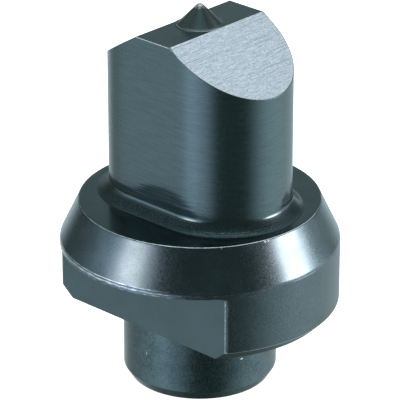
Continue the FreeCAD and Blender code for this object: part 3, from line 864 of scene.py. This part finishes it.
def foot_grid():
    """Oval rows: a soft toe that runs out on the collar, then a tight fillet up to the wall.

    In the fillet the width falls as sin and the height rises as 1 - cos of its swing. The toe is
    the curve (1-t)^2 start + 2t(1-t) corner + t^2 end, level at its start. Two fine lines that
    the cutter left at the front right are rubbed bright in places.
    """
    toe_end = np.array([BLADE_HALF_WIDTH + ROOT_RADIUS * (1 - np.sin(ROOT_TOE)),
                        ROOT_TOP - ROOT_RADIUS * np.cos(ROOT_TOE)])
    corner = np.array([toe_end[0] + (toe_end[1] - COLLAR_TOP) / np.tan(ROOT_TOE), COLLAR_TOP])
    lines = TOOL_LINES[:, None] + TOOL_LINE * np.array([-1.0, 0.0, 1.0])
    t = np.sort(np.concatenate([np.linspace(0.0, 1.0, 13), lines.ravel()]))
    on_line = np.isclose(t[:, None], TOOL_LINES).any(axis=1)
    t = t[:, None]
    toe = (1 - t) ** 2 * [FOOT_HALF_WIDTH, COLLAR_TOP] + 2 * t * (1 - t) * corner + t ** 2 * toe_end
    swing = np.linspace(ROOT_TOE, np.pi / 2, 13)[1:]
    width = np.concatenate([toe[:, 0], BLADE_HALF_WIDTH + ROOT_RADIUS * (1 - np.sin(swing))])
    height = np.concatenate([toe[:, 1], ROOT_TOP - ROOT_RADIUS * np.cos(swing)])
    x, y = outline(width[:, None])
    on_line = np.concatenate([on_line, np.zeros(len(swing), bool)])
    front_right = np.clip((x - LINES_FROM) / LINES_FADE, 0.0, 1.0) * (y < 0)
    return stacked(x, y, height[:, None]), TOOL_LINE_WEAR * on_line[:, None] * front_right


def wall_grid():
    """The wall, and its rounded top edge: width W - e t^2, and e (1-t)^2 below the roof.

    The edge e is widest along the flat strip, where hands and dies rub it, and finer elsewhere.
    """
    inset = np.concatenate([[0.0, 0.0], BLEND ** 2, [SUPPORT]])[:, None]
    drop = np.concatenate([[0.0, SUPPORT], (1 - BLEND) ** 2, [0.0]])[:, None]
    x, y = outline(BLADE_HALF_WIDTH - inset * top_edge)
    edge = np.concatenate([top_edge, top_edge[-2:0:-1]])
    height = roof(x) - drop * edge
    height[0] = ROOT_TOP
    share = np.concatenate([[0.0, 0.0], 4 * BLEND * (1 - BLEND), [0.0]])[:, None]
    return stacked(x, y, height), share * np.where(np.abs(x) < HALF_STRIP, STRIP_WEAR, ROOF_WEAR)


stem_points, stem_wear = stem_grid()
foot_points, foot_wear = foot_grid()
wall_points, wall_wear = wall_grid()
joint_points = np.stack([stem_points[-1], foot_points[0]])
print("rows:", len(stem_points), "stem,", len(foot_points), "foot,", len(wall_points), "wall")

# %% Work out the end: two slopes, and the strip round the point's hole
SPIGOT, FLANK, ROOF, STRIP, ROOT = range(5)
SPAN_STEPS = np.linspace(-1.0, 1.0, 41)
RING_STEPS = np.linspace(0.0, 1.0, 5)[:, None]


def slope_grid(side):
    """One slope: x follows the columns, y runs from edge to edge, and z is the roof."""
    x, y = half_outline(BLADE_HALF_WIDTH - SUPPORT * top_edge)
    wanted = x >= fold[0] - SAME_PLACE if side > 0 else x <= -fold[0] + SAME_PLACE
    x, y = x[wanted], y[wanted]
    span = SPAN_STEPS[:, None]
    on_slope = np.abs(x[:-1] + x[1:]) / 2 > HALF_STRIP
    finish = np.broadcast_to(np.where(on_slope, ROOF, STRIP), (len(span) - 1, len(on_slope)))
    return stacked(x, y * span, roof(x)), finish


def strip_grid():
    """Rings from the strip's border to the hole, then down its wall and in to its middle.

    A ring's point is (1-s) border + s circle, with both in the same direction from the axis.
    """
    width = BLADE_HALF_WIDTH - SUPPORT * STRIP_EDGE
    x = straight[np.abs(straight) <= fold[0] + SAME_PLACE]
    y = width * SPAN_STEPS
    border_x = np.concatenate([x, np.full(len(y) - 2, x[-1]), x[::-1], np.full(len(y) - 2, x[0])])
    border_y = np.concatenate([np.full(len(x), -width), y[1:-1], np.full(len(x), width), y[-2:0:-1]])
    angle = np.arctan2(border_y, border_x)
    circle_x, circle_y = PIP_SHANK_RADIUS * np.cos(angle), PIP_SHANK_RADIUS * np.sin(angle)
    ring_x = (1 - RING_STEPS) * border_x + RING_STEPS * circle_x
    ring_y = (1 - RING_STEPS) * border_y + RING_STEPS * circle_y
    flat = stacked(ring_x, ring_y, STRIP_LEVEL)
    wall = stacked(circle_x[None], circle_y[None], PIP_HOLE_BOTTOM)
    middle = stacked(0.0 * circle_x[None], 0.0 * circle_y[None], PIP_HOLE_BOTTOM)
    return np.concatenate([flat, wall, middle])


right_slope, right_finish = slope_grid(1)
left_slope, left_finish = slope_grid(-1)
blade_grids = [
    grid(stem_points, SPIGOT, stem_wear), grid(joint_points, ROOT), grid(foot_points, ROOT, foot_wear),
    grid(wall_points, FLANK, wall_wear), grid(right_slope, right_finish, around=False),
    grid(left_slope, left_finish, around=False), grid(strip_grid(), STRIP),
]

# The strip was ground before the oxide: dark like the flank, with short marks along Y.
strip_skin = black_oxide("black_oxide_ground_strip", "4a5d62", "51656a", 0.3, 0.2 * MM, 0.002 * MM,
                         (0.1 * MM, 1.5 * MM, 1 * MM), 0.001 * MM)
blade_mesh = join_grids("oval_blade", blade_grids,
                        [spigot_skin, ground_flank, ground_roof, strip_skin, polished_root])
seat(blade_mesh, "blade_stem")

# %% [markdown]
# ## Centre point
#
# The point finds the centre mark before the blade cuts. It is a turned cone with a rounded tip
# and a hollow foot, and its shank is pressed into the blade. The grinding of the two slopes cut
# the foot's sides flush with the strip, so its radius is limited there. Its tip is rubbed all
# round. The hollow's lip gets a painted highlight: pale steel laid only on the side towards the
# camera, where a softbox glints.

# %% Work out the centre point
POINT_COLUMNS = np.radians(np.arange(0.0, 360.0, 1.5))
POINT_BREAKS = 0.02 * MM
PIP_LIP_EDGE = 0.03 * MM
FLANK_SHARES = np.array([0.3, 0.6, 0.82, 0.9])
FLANK_WEAR = np.array([0.0, 0.0, 0.2, 0.55])
TIP_WEAR = 0.66
# The hollow's lip gets a painted highlight: pale steel on the camera's side only, where a softbox glints.
HOLLOW_GLINT = np.array([0.0, 0.3, 1.1, 1.1, 0.8, 0.2, 0.0, 0.0, 0.0, 0.0, 0.0, 0.0, 0.0])
GLINT_SIDE = np.radians(-62.0)
GLINT_SPREAD = 1.6
SMALLEST_COSINE = 1e-6


def point_grid():
    """A profile turned round the axis: radius limited to half strip / |cos(angle)|.

    From the blade up it is the shank, the foot's lip, a hollow that is part of a circle, a
    straight flank and a round tip. Tip and hollow touch the flank without a corner.
    """
    hollow_across = PIP_FOOT_RADIUS - FOOT_MARGIN
    hollow_up = PIP_LIP + PIP_HOLLOW
    base = hollow_across - (PIP_HOLLOW - hollow_up * np.sin(PIP_SLOPE)) / np.cos(PIP_SLOPE)
    tip_up = base / np.tan(PIP_SLOPE) - PIP_TIP_RADIUS / np.sin(PIP_SLOPE)
    shank = round_corners([
        (0.0, pip_low.z), (PIP_SHANK_RADIUS - PIP_SHANK_CHAMFER, pip_low.z),
        (PIP_SHANK_RADIUS, pip_low.z + PIP_SHANK_CHAMFER), (PIP_SHANK_RADIUS, STRIP_LEVEL),
        (PIP_FOOT_RADIUS, STRIP_LEVEL)], POINT_BREAKS)[0]
    hollow = np.linspace(1.5 * np.pi, np.pi + PIP_SLOPE, len(HOLLOW_GLINT))
    tip = np.linspace(PIP_SLOPE, np.pi / 2, 9)
    hollow_radius = hollow_across + PIP_HOLLOW * np.cos(hollow)
    hollow_height = STRIP_LEVEL + hollow_up + PIP_HOLLOW * np.sin(hollow)
    tip_radius = PIP_TIP_RADIUS * np.cos(tip)
    tip_height = STRIP_LEVEL + tip_up + PIP_TIP_RADIUS * np.sin(tip)
    flank_radius = hollow_radius[-1] + FLANK_SHARES * (tip_radius[0] - hollow_radius[-1])
    flank_height = hollow_height[-1] + FLANK_SHARES * (tip_height[0] - hollow_height[-1])
    lip = PIP_LIP_EDGE * BLEND
    radius = np.concatenate([shank[:, 0], PIP_FOOT_RADIUS - lip, hollow_radius, flank_radius,
                             tip_radius[:-1], [0.0]])
    height = np.concatenate([shank[:, 1], STRIP_LEVEL + PIP_LIP - PIP_LIP_EDGE * (1 - BLEND) ** 2,
                             hollow_height, flank_height, tip_height])
    # The painted highlight's share round the lip, highest towards the camera.
    rubbed = np.clip(GLINT_SPREAD * np.cos(POINT_COLUMNS - GLINT_SIDE), 0.0, 1.0)
    tip_wear = np.concatenate([FLANK_WEAR, np.full(len(tip), TIP_WEAR)])
    wear = np.vstack([np.zeros((len(shank) + len(lip), len(POINT_COLUMNS))),
                      HOLLOW_GLINT[:, None] * rubbed,
                      np.repeat(tip_wear[:, None], len(POINT_COLUMNS), axis=1)])
    cosine = np.maximum(np.abs(np.cos(POINT_COLUMNS)), SMALLEST_COSINE)
    reach = np.minimum(radius[:, None], HALF_STRIP / cosine)
    points = stacked(reach * np.cos(POINT_COLUMNS), reach * np.sin(POINT_COLUMNS), height[:, None])
    return points, wear


point_points, point_wear = point_grid()
point_mesh = join_grids("centre_point", [grid(point_points, 0, point_wear)], [point_skin])
seat(point_mesh, "centre_pip")

# %% [markdown]
# ## Table
#
# The punch stands on a light table, a sheet of opal acrylic lit from below that curves up into
# its backdrop. Photographers use one to keep the ground pure white, without a shadow. The world
# already holds what the steel mirrors, so the sheet is only there for the camera.

# %% Lay the lit sheet
SWEEP_ROWS = [0.0, 0.1, 0.3]
SWEEP_FLAT = 0.6
SWEEP_BEND = 0.35
SWEEP_WALL = 0.5
GLOW = 0.95


def sweep_grid():
    """A bowl: level out to the flat's radius, a quarter circle up, then an upright wall."""
    bend = np.radians(np.linspace(0.0, 90.0, 25))
    radius = np.concatenate([SWEEP_ROWS, SWEEP_FLAT + SWEEP_BEND * np.sin(bend),
                             [SWEEP_FLAT + SWEEP_BEND]])
    height = np.concatenate([np.zeros(len(SWEEP_ROWS)), SWEEP_BEND * (1 - np.cos(bend)),
                             [SWEEP_BEND + SWEEP_WALL]])
    angle = np.linspace(0.0, -2 * np.pi, 97)[:-1]
    return stacked(radius[:, None] * np.cos(angle), radius[:, None] * np.sin(angle), height[:, None])


# Opal acrylic scatters the light behind it: an even white without any reflection of its own.
OPAL_TONES = ("f6f6f5", "fafafa")
OPAL_CLOUD = 3 * MM
opal, opal_tree = new_material("opal_white_acrylic")
opal_place = add(opal_tree, "ShaderNodeTexCoord").outputs["Object"]
opal_tone = add(opal_tree, "ShaderNodeMix",
                {"data_type": "RGBA", 6: linear(OPAL_TONES[0]), 7: linear(OPAL_TONES[1])},
                {0: noise(opal_tree, opal_place, OPAL_CLOUD, 2.0)}).outputs[2]
opal_shader = add(opal_tree, "ShaderNodeBsdfPrincipled",
                  {"Roughness": 1.0, "Specular IOR Level": 0.0, "Emission Strength": GLOW},
                  {"Base Color": opal_tone, "Emission Color": opal_tone})
add(opal_tree, "ShaderNodeOutputMaterial", links={"Surface": opal_shader.outputs[0]})
sheet_mesh = join_grids("light_table", [grid(sweep_grid(), 0)], [opal])
sheet = bpy.data.objects.new("light_table", sheet_mesh)
bpy.context.scene.collection.objects.link(sheet)
sheet.visible_glossy = False
sheet.visible_shadow = False
sheet.visible_diffuse = False
